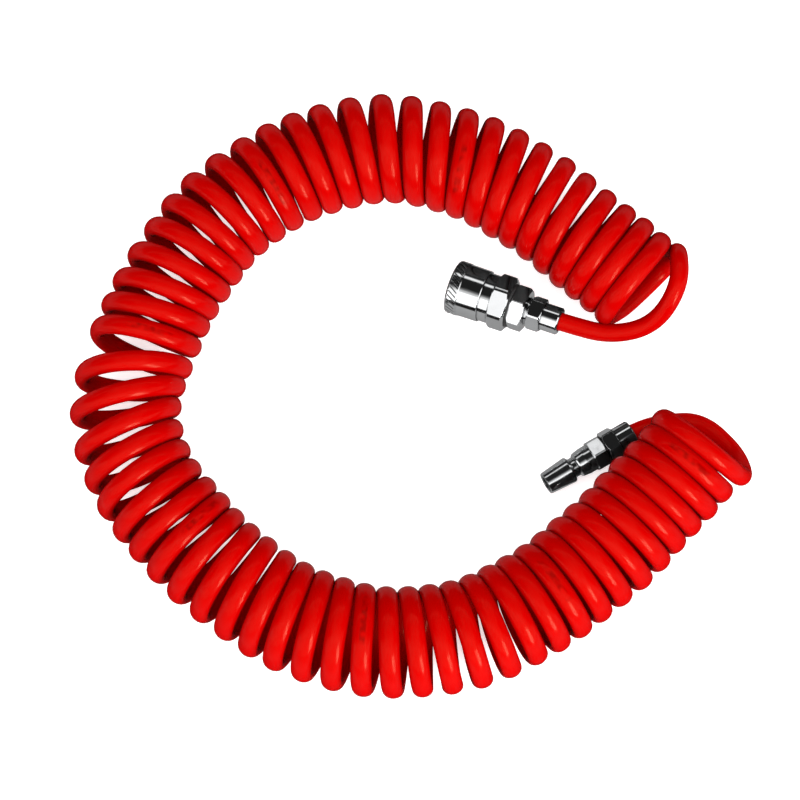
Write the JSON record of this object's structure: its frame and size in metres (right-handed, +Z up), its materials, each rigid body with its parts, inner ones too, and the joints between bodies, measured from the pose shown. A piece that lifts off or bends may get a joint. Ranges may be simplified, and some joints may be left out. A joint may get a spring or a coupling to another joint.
{
  "type": "recoil air hose",
  "caption": "Spring-like recoil air hose lying in a C, with a quick coupler with a sliding release sleeve on one tail and a quick plug on the other.",
  "frame": {"origin": "on the surface that the hose lies on, under the middle of the whole object's box", "axes": "+Z up from the surface; +X from the closed side of the C towards its open side, where the two fittings' tails are; the coupler lies on the +Y side of the gap and the plug on the -Y side"},
  "size_m": [0.2937, 0.2683, 0.048],
  "materials": {
    "red_hose": "gloss",
    "chrome_plate": "polished",
    "bright_steel": "polished",
    "spring_steel": "satin",
    "ball_steel": "polished",
    "valve_brass": "satin",
    "black_rubber": "matte"
  },
  "bodies": {
    "hose": {"hose_coil": "red_hose", "hose_tail_coupler": "red_hose", "hose_tail_plug": "red_hose", "coupler_body": "chrome_plate", "sleeve_snap_ring": "spring_steel", "plug_packing": "black_rubber", "coupler_adapter": "chrome_plate", "adapter_gasket": "black_rubber", "coupler_hose_nut": "chrome_plate", "plug_body": "bright_steel", "plug_hose_nut": "chrome_plate", "sleeve_spring": "spring_steel", "valve_spring": "spring_steel"},
    "sleeve": {"coupler_sleeve": "chrome_plate"},
    "poppet": {"valve_poppet": "valve_brass", "poppet_oring": "black_rubber"},
    "ball_1": {"locking_ball_1": "ball_steel"},
    "ball_2": {"locking_ball_2": "ball_steel"},
    "ball_3": {"locking_ball_3": "ball_steel"},
    "ball_4": {"locking_ball_4": "ball_steel"}
  },
  "joints": [
    {"name": "sleeve_slide", "type": "slide", "parent": "hose", "child": "sleeve", "axis": [0.9231, -0.3618, 0.1305], "range_m": [0, 0.004], "stiffness_N_per_m": 400, "springref_m": -0.002, "deforming": ["sleeve_spring"]},
    {"name": "poppet_slide", "type": "slide", "parent": "hose", "child": "poppet", "axis": [0.9231, -0.3618, 0.1305], "range_m": [0, 0.0044], "stiffness_N_per_m": 150, "springref_m": -0.003, "deforming": ["valve_spring"]},
    {"name": "ball_1_slide", "type": "slide", "parent": "hose", "child": "ball_1", "axis": [-0.2544, -0.32, 0.9126], "range_m": [0, 0.0011]},
    {"name": "ball_2_slide", "type": "slide", "parent": "hose", "child": "ball_2", "axis": [-0.2884, -0.8757, -0.3874], "range_m": [0, 0.0011]},
    {"name": "ball_3_slide", "type": "slide", "parent": "hose", "child": "ball_3", "axis": [0.2544, 0.32, -0.9126], "range_m": [0, 0.0011]},
    {"name": "ball_4_slide", "type": "slide", "parent": "hose", "child": "ball_4", "axis": [0.2884, 0.8757, 0.3874], "range_m": [0, 0.0011]}
  ],
  "couplings": [
    {"joint": "ball_1_slide", "follows": "sleeve_slide", "ratio": 0.275},
    {"joint": "ball_2_slide", "follows": "sleeve_slide", "ratio": 0.275},
    {"joint": "ball_3_slide", "follows": "sleeve_slide", "ratio": 0.275},
    {"joint": "ball_4_slide", "follows": "sleeve_slide", "ratio": 0.275}
  ]
}
